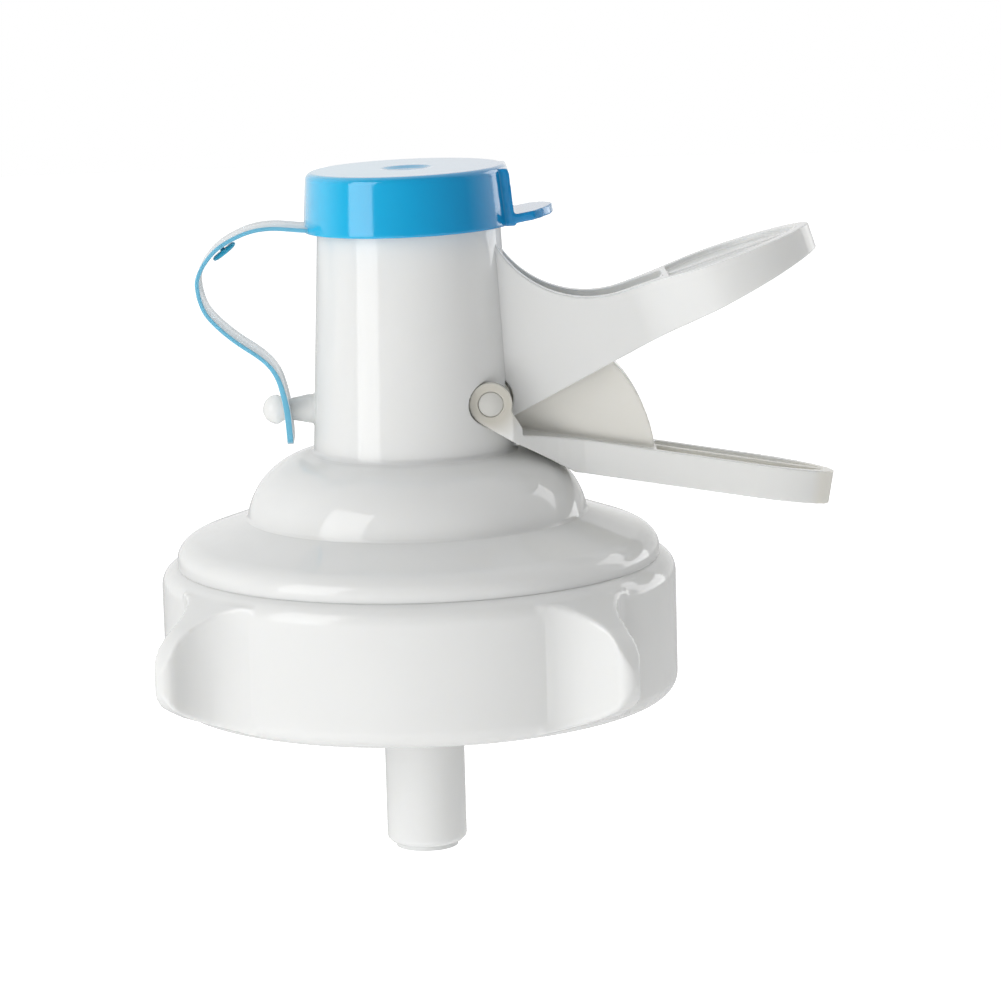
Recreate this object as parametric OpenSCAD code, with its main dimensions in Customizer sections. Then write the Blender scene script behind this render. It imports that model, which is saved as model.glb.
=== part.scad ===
// Squeeze spigot for a drinking water jug. A screw collar holds the domed spout on the
// bottle. Squeezing the lower lever towards the fixed handle pushes the stem down and
// opens a spring-loaded valve inside the dome. A tethered cap covers the mouth.
// Frame: origin on the spout's axis at the collar's lower rim, +Z up the spout, +X towards
// the two handles. The lever is drawn at rest, with the valve closed.

/* [Bottle neck] */
// Diameter over the thread of the bottle's neck
bottle_d = 55; // [52:0.5:60]
// Inside diameter of the bottle's mouth
bottle_mouth_d = 43.6; // [42:0.2:44.4]

/* [Collar] */
// Height of the collar nut
collar_h = 17.4; // [17:0.1:20]
// Wall of the collar nut outside its thread
collar_wall = 3.7; // [3:0.1:5]
// Thickness of the collar's inner web
collar_web_t = 3.2; // [2.4:0.1:3.4]
// Radius of the collar's upper and lower outside edges
collar_edge_r = 2.3; // [1.5:0.1:2.8]
// Pitch of the collar's thread
thread_pitch = 4.4; // [3.6:0.1:5]
// Height of the thread's ridge
thread_depth = 1.1; // [0.8:0.1:1.3]
// Length of the thread in turns
thread_turns = 1.4; // [1:0.1:1.5]
// Number of grip lugs
lug_count = 4; // [2:1:6]
// How far a lug stands out from the collar
lug_reach = 8.3; // [5:0.1:10]
// Thickness of a lug at its rounded tip
lug_t = 3; // [2:0.1:4]
// Radius of the hollow between a lug and the collar
lug_fillet_r = 7; // [4:0.5:9]
// Turn of the first lug from the -Y direction, towards +X
lug_turn = 38.5; // [0:0.5:89]

/* [Seal stack] */
// Thickness of the bottle gasket
gasket_t = 2; // [1.5:0.1:2.5]
// Thickness of the clamp ring under the collar's web
clamp_t = 2.1; // [1.6:0.1:2.6]
// Width of the clamp ring outside the skirt
clamp_w = 2.7; // [2:0.1:3.2]

/* [Spout body] */
// Radius of the rounded ring above the collar
ring_r = 30; // [28.8:0.1:31]
// Height of the rounded ring
ring_h = 5.6; // [5:0.1:6.5]
// Radius of the dome where it meets the ring
dome_r = 21.1; // [20:0.1:22.5]
// Height of the dome
dome_h = 7.9; // [7:0.1:9]
// Bulge of the dome's outline beyond a straight cone
dome_bulge = 1.93; // [1:0.05:2.4]
// Radius of the neck where it leaves the dome
neck_base_r = 12.6; // [12.2:0.1:13.4]
// Radius of the neck under the cap
neck_top_r = 11.3; // [10.9:0.1:11.8]
// Length of the neck from the dome to the mouth
neck_len = 33.4; // [31:0.1:38]
// Diameter of the water way in the neck
bore_d = 18.8; // [18.4:0.1:19.2]
// Wall of the dome and the skirt
shell_t = 2.2; // [1.8:0.1:2.6]

/* [Fixed handle] */
// Reach of the fixed handle from the spout's axis
handle_reach = 50.5; // [46:0.5:56]
// Width of the fixed handle's paddle
paddle_w = 16.8; // [14:0.2:18]
// Width of the fixed handle at the neck
handle_root_w = 9; // [8.4:0.1:9.6]
// Slope of the handle's top edge
handle_top_slope = 17.7; // [14:0.1:22]
// Slope of the handle's lower edge
handle_low_slope = 27; // [25:0.1:28]
// Radius of the sweep from the neck into the handle's top edge
handle_sweep_r = 13; // [11:0.1:15]
// Wall of the handle
handle_wall = 1.3; // [1.0:0.05:1.5]
// Depth of the recess in the paddle's top
paddle_recess = 0.8; // [0.5:0.1:1.2]

/* [Squeeze lever] */
// Height of the lever's pivot above the collar's rim
pivot_z = 37.6; // [37:0.1:39]
// Distance of the lever's pivot from the spout's axis
pivot_x = 9.33; // [9.1:0.01:9.6]
// Radius of the pivot pin
pin_r = 1.5; // [1.2:0.05:1.6]
// Radius of the round bosses on the yoke's arms
boss_r = 2.65; // [2.5:0.05:2.8]
// Thickness of a yoke arm
arm_t = 1.2; // [1.1:0.1:1.8]
// Reach of the lever from the spout's axis
lever_reach = 52; // [48:0.5:58]
// Width of the lever's finger tray
lever_w = 9.1; // [8.2:0.1:11]
// Depth of the lever's side
lever_depth = 4.2; // [3.4:0.1:4.6]
// Slope of the lever below level at rest
lever_slope = 10; // [8:0.1:10.5]
// Wall and rib thickness of the lever
lever_wall = 0.9; // [0.7:0.05:1.2]
// Thickness of the sector web
web_t = 5; // [4:0.1:5.2]
// Radius of the sector web's curved edge
web_r = 18.7; // [17:0.1:19.5]
// Turn of the lever from rest to fully squeezed
squeeze_angle = 34; // [20:1:34]

/* [Valve] */
// Radius of the stem's lower tube
stem_r = 5; // [4.6:0.05:5.2]
// Length of the stem below the collar's rim
stem_below = 19; // [14:0.1:30]
// Radius of the stem's middle part
stem_mid_r = 3.8; // [3.6:0.05:3.9]
// Radius of the stem's upper tube
stem_top_r = 3.2; // [3.1:0.05:3.4]
// Bore of the vent way in the stem
vent_bore_r = 2.2; // [1.8:0.05:2.2]
// Radius of the chamber that holds the vent ball
vent_chamber_r = 3.4; // [3.2:0.05:3.5]
// Radius of the vent ball
vent_ball_r = 2.9; // [2.7:0.05:3.0]
// Travel of the vent ball from its end plug to its seat
vent_ball_travel = 3.9; // [2:0.1:5]
// Radius of the valve disc
disc_r = 11.8; // [11.4:0.1:12.4]
// Thickness of the valve disc
disc_t = 2; // [1.6:0.1:2.4]
// Thickness of the rubber valve seal
seal_t = 1.7; // [1.2:0.1:2]
// Wire diameter of the return spring
spring_wire = 0.9; // [0.7:0.05:1]
// Mean radius of the return spring
spring_r = 6.8; // [6.6:0.1:7.2]
// Turns of the return spring
spring_turns = 6; // [5:0.5:7]
// Height of the cage's hub floor above the collar's rim
cage_z = 3; // [1:0.1:4]

/* [Cap] */
// Height of the cap
cap_h = 7.3; // [6.5:0.1:9]
// Wall of the cap at its lower rim
cap_wall = 1.6; // [1.4:0.1:2]
// Draft of the cap's side, as the loss of radius at the top
cap_draft = 0.5; // [0.2:0.1:0.7]
// Reach of the pull tab beyond the cap
tab_reach = 4.9; // [3:0.1:7]
// Width of the pull tab
tab_w = 10.6; // [6:0.1:12]
// Thickness of the pull tab
tab_t = 1.1; // [0.8:0.1:1.4]
// Rise of the pull tab above level
tab_slope = 8.5; // [0:0.5:12]
// Width of the tether strap
strap_w = 7.8; // [6:0.1:9]
// Thickness of the tether strap
strap_t = 0.55; // [0.5:0.05:0.9]
// Thickness of the strap's end that hangs on the peg
strap_end_t = 0.8; // [0.6:0.05:1]
// Radius of the peg's waist, where the strap hangs
peg_waist_r = 1.35; // [1.2:0.05:1.6]
// Radius of the peg's root
peg_root_r = 1.8; // [1.7:0.05:2.2]
// Radius of the peg's rounded bulb
peg_bulb_r = 1.85; // [1.7:0.05:2.2]
// Height of the peg above the collar's rim
peg_z = 36.4; // [35:0.1:38]

/* [Hidden] */
$fn = 96;
eps = 0.01;

white = [0.93, 0.94, 0.93];
pale = [0.88, 0.90, 0.90];
blue = [0.10, 0.62, 0.86];
strap_blue = [0.45, 0.78, 0.92];
rubber = [0.78, 0.78, 0.76];
steel = [0.72, 0.73, 0.75];

// Clearances
slip = 0.1;          // flat faces that slide or turn on each other
run = 0.08;          // radial play of a shaft in its bore
pin_play = 0.05;     // radial play of the pin in the lever
side_play = 0.4;     // room beside the web in the handle's channel
hub_play = 0.25;     // room around the lever's hub and bosses
thread_play = 0.8;   // room between the bottle's thread and the collar's bore

// Collar and seal stack, from the rim up
collar_bore_r = bottle_d / 2 + thread_play;
collar_r = collar_bore_r + collar_wall;
web_z = collar_h - collar_web_t;
clamp_z = web_z - slip - clamp_t;
gasket_z = clamp_z - gasket_t;
clamp_r = collar_bore_r - thread_depth - 0.3;
skirt_r = clamp_r - clamp_w;
skirt_bore_r = min(skirt_r - 1.8, bottle_mouth_d / 2 - 0.2);
thread_z = 1.2;
thread_half = 0.32 * thread_pitch;

// Spout body outline
ring_z = collar_h + slip;
ring_top = ring_z + ring_h;
dome_top = ring_top + dome_h;
mouth_z = dome_top + neck_len;
shoulder_w = 4.6;    // rounded edge of the ring: an arc of an ellipse
shoulder_h = 2.4;
shoulder_low = 1.2;
relief_h = 2;        // height of the relief under the ring
bore_r = bore_d / 2;
cap_z = mouth_z + 1.5 - cap_h;
lip_t = 1.2;
seat_z = dome_top - 4.7;
function neck_r(z) = neck_base_r + (neck_top_r - neck_base_r) * (z - dome_top) / (cap_z - dome_top);

// Fixed handle: the lower edge starts beside the yoke, and the top edge leaves the neck in a sweep
handle_low_x = pivot_x + 4.97;
handle_low_z = pivot_z - 1.2;
function handle_low(x) = handle_low_z + (x - handle_low_x) * tan(handle_low_slope);
sweep_x = pivot_x + 12.67;
sweep_low = 12.15;   // height of the sweep's lowest point above the pivot
sweep_z = pivot_z + sweep_low + handle_sweep_r;
line_x = sweep_x + handle_sweep_r * sin(handle_top_slope);
line_z = sweep_z - handle_sweep_r * cos(handle_top_slope);
function handle_top(x) = x < line_x
    ? sweep_z - sqrt(max(0, pow(handle_sweep_r, 2) - pow(x - sweep_x, 2)))
    : line_z + (x - line_x) * tan(handle_top_slope);
paddle_start = handle_reach - 24;
paddle_mid = handle_reach - 13;
paddle_floor_t = 1.4;
function smooth(t) = t * t * (3 - 2 * t);
function paddle_half(x) = x < paddle_start ? handle_root_w / 2
    : x < paddle_mid ? handle_root_w / 2 + (paddle_w - handle_root_w) / 2
        * smooth((x - paddle_start) / (paddle_mid - paddle_start))
    : paddle_w / 2 * pow(max(0, 1 - pow((x - paddle_mid) / (handle_reach - paddle_mid), 2)), 0.6);
channel_half = web_t / 2 + side_play;
slot_low = 4.6;      // reach of the neck's slot below and above the pivot
slot_high = 5.4;

// Squeeze lever: the yoke's arms end in bosses that sit in round pockets in the neck's flanks
lever_root_x = pivot_x + 9.07;
lever_root_z = pivot_z - 5.05;
function lever_top(x) = lever_root_z - (x - lever_root_x) * tan(lever_slope);
root_low_x = lever_root_x + 1.2;
root_low = [root_low_x, lever_top(root_low_x) - lever_depth];
lever_round = 10;
tray_x = pivot_x + 21.67;
tray_floor_t = 1;
arm_gap = 0.25;      // room between an arm and the neck's flank at the pivot
arm_in = sqrt(pow(neck_r(pivot_z), 2) - pow(pivot_x, 2)) + arm_gap;
arm_out = arm_in + arm_t;
yoke_gap_r = neck_base_r + 0.5;
hub_r = pin_r + 1.1;
hub_half = 4.6;
channel_end = pivot_x + 21.7;
web_centre = [pivot_x + 1.67, pivot_z - 8.9];

// Fork: it stands level halfway through the squeeze, so its nubs travel almost straight down
fork_tilt = squeeze_angle / 2;
fork_in = 6.2;
fork_out = bore_r - 0.9;
fork_back = 1.6;     // how far the fork reaches past the stem's axis
fork_t = 2;
nub_r = 1.1;

// Lower edge of a yoke arm, tangent to its boss
arm_way = root_low - [pivot_x, pivot_z];
arm_side = acos(boss_r / norm(arm_way));
arm_dir = atan2(arm_way[1], arm_way[0]) - arm_side;
arm_normal = [cos(arm_dir), sin(arm_dir)];
arm_foot = [pivot_x, pivot_z] + boss_r * arm_normal;
pocket_play = 0.15;
pocket_t = 10;
arm_play = 0.22;     // room below an arm; a little less than a boss's, so that the cuts cross

// Stem stack, from the disc up
guide_r = stem_r - 0.3;
hose_edge = 0.6;     // chamfer of the tube's lower edge
hose_low = -stem_below + hose_edge;
shoulder_z = cage_z - 2;
disc_top = seat_z - 0.05 - seal_t;
disc_z = disc_top - disc_t;
retainer_t = 1.6;
cross_z = pivot_z + pivot_x * sin(fork_tilt);
cross_gap = nub_r + slip;
cross_half = 3.1;
cross_r = 5.5;
groove_r = 4.3;
nub_in = groove_r + 0.15;
clip_t = 0.8;
clip_r = stem_top_r - 0.5;
stem_top_z = mouth_z - 7.4;
seat_cone = vent_chamber_r - vent_bore_r;
plug_t = 2.8;
ball_z = -stem_below + plug_t + vent_ball_r;
ball_seat_z = ball_z + vent_ball_travel + 0.1 + sqrt(pow(vent_ball_r, 2) - pow(vent_bore_r, 2));

// Cage under the valve
cage_rim_t = 1.8;
cage_rim_h = 3;
hub_flange_z = cage_z + 3.2;
hub_top = hub_flange_z + 0.8;
hub_flange_r = spring_r + 2;
washer_t = 0.5;
spring_z = hub_top + washer_t;

// Cup under the disc that centres the spring
cup_t = 1;
cup_h = 2;
cup_r = spring_r + spring_wire / 2 + 0.95 + cup_t;

// Cap and tether
cap_bore_r = neck_top_r + run;
cap_r = cap_bore_r + cap_wall;
cap_top = cap_z + cap_h;
cap_top_r = cap_r - cap_draft;
cap_edge = 0.9;
peg_len = 6.4;
strap_x = 3.3;       // distance of the hanging strap from the neck

// Points of an arc from a to b that bulges by s to the left of the way from a to b
function bulge(a, b, s, n) =
    let (c = norm(b - a), r = (c * c / 4 + s * s) / (2 * s), u = (b - a) / c, v = [-u[1], u[0]],
        m = (a + b) / 2 + v * (s - r), h = asin(c / 2 / r))
    [for (i = [0:n]) let (t = h - 2 * h * i / n) m - u * r * sin(t) + v * r * cos(t)];

// Points of an arc about c with radius r, from angle a0 to a1
function arc(c, r, a0, a1, n) =
    [for (i = [0:n]) let (t = a0 + (a1 - a0) * i / n) c + r * [cos(t), sin(t)]];

// Puts a drawing of the XZ plane in its place and gives it a width along Y
module along_y(width) {
    rotate([90, 0, 0])
        linear_extrude(width, center = true)
            children();
}

// Closed tube through a list of rings, each a list of as many points
module tube(rings) {
    n = len(rings[0]);
    m = len(rings);
    sides = [for (i = [0:m - 2], j = [0:n - 1], k = [0:1])
        let (p = i * n + j, q = i * n + (j + 1) % n)
        k == 0 ? [p, q, q + n] : [p, q + n, p + n]];
    first = [for (j = [1:n - 2]) [0, j + 1, j]];
    last = [for (j = [1:n - 2]) [(m - 1) * n, (m - 1) * n + j, (m - 1) * n + j + 1]];
    polyhedron([for (ring = rings) each ring], concat(sides, first, last));
}

// Ring of round or square section with a true bore
module washer(r_out, r_in, z, t) {
    translate([0, 0, z])
        difference() {
            cylinder(r = r_out, h = t);
            translate([0, 0, -1])
                cylinder(r = r_in, h = t + 2);
        }
}

// Outline of one lug in its radial plane: x is the distance from the axis
module lug_side() {
    tip = collar_r + lug_reach;
    foot = collar_r - 3;
    middle = collar_h / 2;
    polygon(concat(
        [[foot, 0.04 * collar_h], [collar_r - 1, 0.04 * collar_h],
            [collar_r + 0.43 * lug_reach, 0.14 * collar_h]],
        bulge([tip - 2.4, 0.21 * collar_h], [tip, middle - 0.1], -0.9, 6),
        bulge([tip, middle + 0.2], [tip - 3.4, 0.78 * collar_h], -0.5, 6),
        [[collar_r - 0.3, collar_h - 1], [foot, collar_h - 1]]));
}

// Outline of one lug from above: a rounded blade whose hollow flanks run out on the collar
module lug_plan() {
    tip = collar_r + lug_reach - lug_t / 2;
    foot = lug_t / 2 + lug_fillet_r;
    flank = sqrt(pow(collar_r + lug_fillet_r, 2) - pow(foot, 2));
    spread = foot * collar_r / (collar_r + lug_fillet_r);
    translate([tip, 0])
        circle(r = lug_t / 2);
    difference() {
        translate([collar_r - 3, -spread])
            square([tip - collar_r + 3, 2 * spread]);
        for (s = [-1, 1])
            translate([flank, s * foot])
                circle(r = lug_fillet_r);
        for (s = [0, 1])
            mirror([0, s])
                translate([flank, lug_t / 2])
                    square([lug_reach + 3, foot]);
    }
}

module lug() {
    intersection() {
        along_y(40)
            lug_side();
        linear_extrude(collar_h)
            lug_plan();
    }
}

module thread_ridge() {
    steps = ceil(thread_turns * 36);
    section = [[0.4, -thread_half], [0.4, thread_half], [-thread_depth, 0.4 * thread_half],
        [-thread_depth, -0.4 * thread_half]];
    tube([for (i = [0:steps])
        let (a = 360 * thread_turns * i / steps,
            z = thread_z + thread_half + thread_pitch * thread_turns * i / steps)
        [for (p = section) let (r = collar_bore_r + p[0]) [r * cos(a), r * sin(a), z + p[1]]]]);
}

// Screw collar with grip lugs; it turns freely on the spout's skirt
module collar_nut() {
    color(white) {
        difference() {
            union() {
                rotate_extrude()
                    polygon(concat(
                        [[0, 0], [collar_r - collar_edge_r, 0]],
                        arc([collar_r - collar_edge_r, collar_edge_r], collar_edge_r, -80, 0, 8),
                        arc([collar_r - collar_edge_r, collar_h - collar_edge_r], collar_edge_r, 0, 80, 8),
                        [[collar_r - collar_edge_r, collar_h], [0, collar_h]]));
                for (i = [0:lug_count - 1])
                    rotate([0, 0, lug_turn - 90 + i * 360 / lug_count])
                        lug();
            }
            translate([0, 0, -1])
                cylinder(r = collar_bore_r, h = web_z + 1);
            translate([0, 0, -eps])
                cylinder(r1 = collar_bore_r + 0.6, r2 = collar_bore_r, h = 0.6);
            cylinder(r = skirt_r + run, h = collar_h + 1);
        }
        thread_ridge();
    }
}

// Flat gasket that the bottle's rim presses on
module neck_gasket() {
    color(rubber)
        washer(clamp_r - 0.1, skirt_bore_r + 0.2, gasket_z, gasket_t);
}

// Ring on the skirt that the collar's web pulls down
module clamp_ring() {
    color(pale)
        washer(clamp_r, skirt_r, clamp_z, clamp_t);
}

// The ring's rounded edge runs out in a straight slope that meets the dome in a crease
module body_outline() {
    crease = [dome_r + 0.2, ring_top - 0.1];
    middle = [ring_r - shoulder_w, ring_z + shoulder_low];
    aim = [(crease[0] - middle[0]) / shoulder_w, (crease[1] - middle[1]) / shoulder_h];
    end = atan2(aim[1], aim[0]) - acos(1 / norm(aim));
    polygon(concat(
        [[0, clamp_z], [skirt_r, clamp_z], [skirt_r, ring_z], [ring_r - 0.5, ring_z],
            [ring_r - 0.1, ring_z + 0.35]],
        [for (i = [0:12]) let (t = end * i / 12)
            middle + [shoulder_w * cos(t), shoulder_h * sin(t)]],
        [crease],
        bulge([dome_r, ring_top + 0.2], [neck_base_r, dome_top], -dome_bulge, 16),
        [[neck_top_r, cap_z - 0.2], [neck_top_r, mouth_z - 0.5], [neck_top_r - 0.4, mouth_z],
            [0, mouth_z]]));
}

// Chamber under the dome, with the seat's lip left standing round the bore
module chamber_outline() {
    roof = dome_top - shell_t;
    polygon(concat(
        [[0, clamp_z - 1], [skirt_bore_r, clamp_z - 1], [skirt_bore_r, ring_z + 1.2]],
        bulge([dome_r - shell_t, ring_top - 0.6], [bore_r + lip_t + 0.6, roof], -dome_bulge, 12),
        [[bore_r + lip_t, roof], [bore_r + lip_t, seat_z], [0, seat_z]]));
}

// Fixed handle: a channel with a swept root and a recessed paddle
module handle_side(x0, x1) {
    n = 24;
    polygon(concat(
        [for (i = [0:n]) let (x = x0 + (x1 - x0) * i / n) [x, handle_top(x)]],
        [[x1, handle_low(x1)], [x0, handle_low(x0)]]));
}

module handle_plan(inset, x0) {
    n = 24;
    x1 = handle_reach - inset;
    upper = [for (i = [0:n]) let (x = x0 + (x1 - x0) * (1 - pow(1 - i / n, 2)))
        [x, i == n ? 0 : max(0.05, paddle_half(min(x + (x > paddle_mid ? inset : 0),
            handle_reach)) - inset)]];
    polygon(concat(upper, [for (i = [n - 1:-1:0]) [upper[i][0], -upper[i][1]]]));
}

// The plan carried through the handle, square to the paddle's sloped top
module handle_block(inset, x0) {
    translate([handle_reach, 0, handle_low(handle_reach)])
        rotate([0, -handle_top_slope, 0])
            translate([-handle_reach, 0, 0])
                linear_extrude(120, center = true)
                    handle_plan(inset, x0);
}

module fixed_handle() {
    difference() {
        intersection() {
            along_y(40)
                handle_side(neck_base_r - 4, handle_reach);
            handle_block(0, neck_base_r - 9);
        }
        // Open channel that the lever's web swings through
        translate([0, -channel_half, 0])
            cube([channel_end, 2 * channel_half, 100]);
        // Recess in the paddle's top
        intersection() {
            along_y(40)
                translate([0, -paddle_recess])
                    polygon([[channel_end + handle_wall, handle_top(channel_end + handle_wall)],
                        [handle_reach + 5, handle_top(handle_reach + 5)],
                        [handle_reach + 5, 100], [channel_end + handle_wall, 100]]);
            handle_block(handle_wall, channel_end + handle_wall);
        }
        // Hollow underside of the paddle
        intersection() {
            along_y(40)
                polygon([[channel_end + handle_wall, 0], [handle_reach + 5, 0],
                    [handle_reach + 5, handle_top(handle_reach + 5) - paddle_recess - paddle_floor_t],
                    [channel_end + handle_wall,
                        handle_top(channel_end + handle_wall) - paddle_recess - paddle_floor_t]]);
            handle_block(handle_wall, channel_end + handle_wall);
        }
    }
    // Rib along the middle of the paddle's recess
    tip = handle_reach - handle_wall / 2;
    intersection() {
        along_y(handle_wall)
            polygon([[channel_end + eps, handle_top(channel_end) - paddle_recess - paddle_floor_t / 2],
                [tip, handle_top(tip) - paddle_recess - paddle_floor_t / 2],
                [tip, handle_top(tip) - paddle_recess / 2],
                [channel_end + eps, handle_top(channel_end) - paddle_recess / 2]]);
        handle_block(handle_wall / 2, channel_end - handle_wall);
    }
}

module peg() {
    translate([-neck_r(peg_z) + 1, 0, peg_z])
        rotate([0, -90, 0])
            rotate_extrude()
                polygon(concat(
                    [[0, 0], [peg_root_r, 0], [peg_root_r, 1.6], [peg_waist_r, strap_x + 0.6],
                        [peg_waist_r, strap_x + 1.6]],
                    arc([0, peg_len + 1 - peg_bulb_r], peg_bulb_r, 0, 90, 8)));
}

// One moulding: skirt, ring, dome, neck, seat, fixed handle and the strap's peg
module spout_body() {
    color(white)
        difference() {
            union() {
                rotate_extrude()
                    body_outline();
                fixed_handle();
                peg();
            }
            rotate_extrude()
                chamber_outline();
            cylinder(r = bore_r, h = mouth_z + 1);
            // Relief that lightens the ring
            difference() {
                translate([0, 0, ring_z - 1])
                    cylinder(r = ring_r - shell_t, h = relief_h + 1);
                translate([0, 0, ring_z - 2])
                    cylinder(r = skirt_r + 1, h = 6);
            }
            // Slot that the lever's web swings in
            translate([bore_r - 2, -channel_half, pivot_z - slot_low])
                cube([neck_base_r - bore_r + 3, 2 * channel_half, slot_low + slot_high]);
            translate([pivot_x, 0, pivot_z])
                rotate([90, 0, 0]) {
                    cylinder(r = hub_r + hub_play, h = 2 * hub_half + 0.4, center = true);
                    cylinder(r = pin_r, h = 4 * arm_out, center = true);
                    for (s = [-1, 1])
                        translate([0, 0, s * (arm_in - pocket_play + pocket_t / 2)])
                            cylinder(r = boss_r + hub_play, h = pocket_t, center = true);
                }
            // Room in the neck's flanks for the arms, below their bosses
            for (s = [-1, 1])
                translate([0, s * (arm_in - pocket_play + pocket_t / 2), 0])
                    along_y(pocket_t)
                        polygon([[pivot_x, pivot_z], arm_foot + arm_play * arm_normal,
                            root_low + arm_play * arm_normal]);
        }
}

// Spider that guides the stem and carries the spring
module valve_cage() {
    color(pale)
        difference() {
            union() {
                washer(skirt_bore_r, skirt_bore_r - cage_rim_t, clamp_z, cage_rim_h);
                translate([0, 0, cage_z])
                    cylinder(r = stem_r + 1.5, h = hub_top - cage_z);
                translate([0, 0, hub_flange_z])
                    cylinder(r = hub_flange_r, h = hub_top - hub_flange_z);
                for (i = [0:3])
                    rotate([0, 0, 45 + 90 * i])
                        along_y(1.6)
                            polygon([[stem_r + 0.8, cage_z], [hub_flange_r, cage_z + 0.6],
                                [skirt_bore_r - 1, clamp_z], [skirt_bore_r - 1, clamp_z + cage_rim_h],
                                [hub_flange_r, hub_top - 0.2], [stem_r + 0.8, hub_top - 0.2]]);
            }
            translate([0, 0, cage_z - 1])
                cylinder(r = guide_r + run, h = hub_top - cage_z + 2);
        }
}

// Steel washer between the cage and the spring
module spring_washer() {
    color(steel)
        washer(hub_flange_r - 0.2, guide_r + 0.35, hub_top, washer_t);
}

// Compression spring that lifts the stem and closes the valve
module return_spring() {
    steps = spring_turns * 18;
    wire = spring_wire / 2;
    height = disc_z - spring_z - spring_wire;
    color(steel)
        tube([for (i = [0:steps])
            let (a = 360 * spring_turns * i / steps, z = spring_z + wire + height * i / steps)
            [for (j = [0:5]) let (b = 60 * j, r = spring_r + wire * cos(b))
                [r * cos(a), r * sin(a), z + wire * sin(b)]]]);
}

// Hollow stem: hose end below, relieved guide in the cage, disc and crosshead seats above
module valve_stem() {
    cross_low = cross_z - cross_half;
    color(white)
        difference() {
            rotate_extrude()
                polygon([[0, -stem_below], [stem_r - hose_edge, -stem_below], [stem_r, hose_low],
                    [stem_r, shoulder_z], [guide_r, shoulder_z],
                    [guide_r, disc_z], [stem_mid_r, disc_z], [stem_mid_r, cross_low],
                    [stem_top_r, cross_low], [stem_top_r, stem_top_z - 0.4],
                    [stem_top_r - 0.4, stem_top_z], [0, stem_top_z]]);
            translate([0, 0, -stem_below - 1])
                cylinder(r = vent_chamber_r, h = ball_seat_z - seat_cone + stem_below + 1);
            translate([0, 0, ball_seat_z - seat_cone])
                cylinder(r1 = vent_chamber_r, r2 = vent_bore_r, h = seat_cone);
            cylinder(r = vent_bore_r, h = 2 * (stem_top_z + stem_below), center = true);
            // Grooves for the o-ring and the clip
            washer(stem_mid_r + 1, stem_mid_r - 0.9, disc_z + 0.4, 1.2);
            washer(stem_top_r + 1, clip_r, cross_z + cross_half, clip_t);
        }
}

// Poppet that closes the dome's outlet; its collar centres the spring
module valve_disc() {
    color(pale)
        difference() {
            union() {
                translate([0, 0, disc_z])
                    cylinder(r = disc_r, h = disc_t);
                washer(cup_r, cup_r - cup_t, disc_z - cup_h, cup_h + disc_t / 2);
            }
            cylinder(r = stem_mid_r + pin_play, h = disc_top + 1);
        }
}

// O-ring between the stem and the disc
module stem_o_ring() {
    color(rubber)
        translate([0, 0, disc_z + 1])
            rotate_extrude()
                translate([stem_mid_r - 0.42, 0])
                    circle(r = 0.45, $fn = 32);
}

// Soft washer that meets the seat's lip
module valve_seal() {
    color(rubber)
        washer(disc_r - 0.4, stem_mid_r, disc_top, seal_t);
}

// Ring that clamps the seal's middle on the disc
module seal_retainer() {
    color(pale)
        washer(bore_r - 1, stem_mid_r, disc_top + seal_t, retainer_t);
}

// Grooved sleeve on the stem that the lever's nubs push
module stem_crosshead() {
    color(pale)
        difference() {
            translate([0, 0, cross_z - cross_half])
                cylinder(r = cross_r, h = 2 * cross_half);
            washer(cross_r + 1, groove_r, cross_z - cross_gap, 2 * cross_gap);
            cylinder(r = stem_top_r, h = mouth_z);
        }
}

// Open snap ring that keeps the crosshead on its shoulder
module stem_clip() {
    color(steel)
        difference() {
            washer(stem_top_r + 1.3, clip_r, cross_z + cross_half, clip_t);
            translate([-10, -1.2, cross_z + cross_half - 1])
                cube([10, 2.4, clip_t + 2]);
        }
}

// Ball that shuts the vent when the jug is tipped
module vent_ball() {
    color(steel)
        translate([0, 0, ball_z])
            sphere(r = vent_ball_r);
}

// Notched plug that keeps the ball in the tube and lets air past it
module vent_end_plug() {
    color(pale)
        difference() {
            union() {
                translate([0, 0, -stem_below])
                    cylinder(r = vent_chamber_r, h = plug_t);
                translate([0, 0, -stem_below - 0.6])
                    cylinder(r = vent_chamber_r + 0.5, h = 0.6);
            }
            translate([0, 0, -stem_below - 1])
                cylinder(r = 1.3, h = plug_t + 2);
            for (a = [0, 90])
                rotate([0, 0, a])
                    translate([-vent_ball_r, -0.6, -stem_below + plug_t - 1])
                        cube([2 * vent_ball_r, 1.2, 2]);
        }
}

function lever_half(x) = x < lever_reach - lever_round ? lever_w / 2
    : lever_w / 2 * sqrt(max(0, 1 - pow((x - lever_reach + lever_round) / lever_round, 2)));

module lever_plan(inset, x0) {
    n = 20;
    x1 = lever_reach - inset;
    upper = [for (i = [0:n]) let (x = x0 + (x1 - x0) * (1 - pow(1 - i / n, 2)))
        [x, i == n ? 0 : max(0.05, lever_half(min(x + (x > lever_reach - lever_round ? inset : 0),
            lever_reach)) - inset)]];
    polygon(concat(upper, [for (i = [n - 1:-1:0]) [upper[i][0], -upper[i][1]]]));
}

// Carries a plan through the lever, square to its sloped top
module lever_block() {
    translate([lever_reach, 0, lever_top(lever_reach)])
        rotate([0, lever_slope, 0])
            translate([-lever_reach, 0, 0])
                linear_extrude(100, center = true)
                    children();
}

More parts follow.
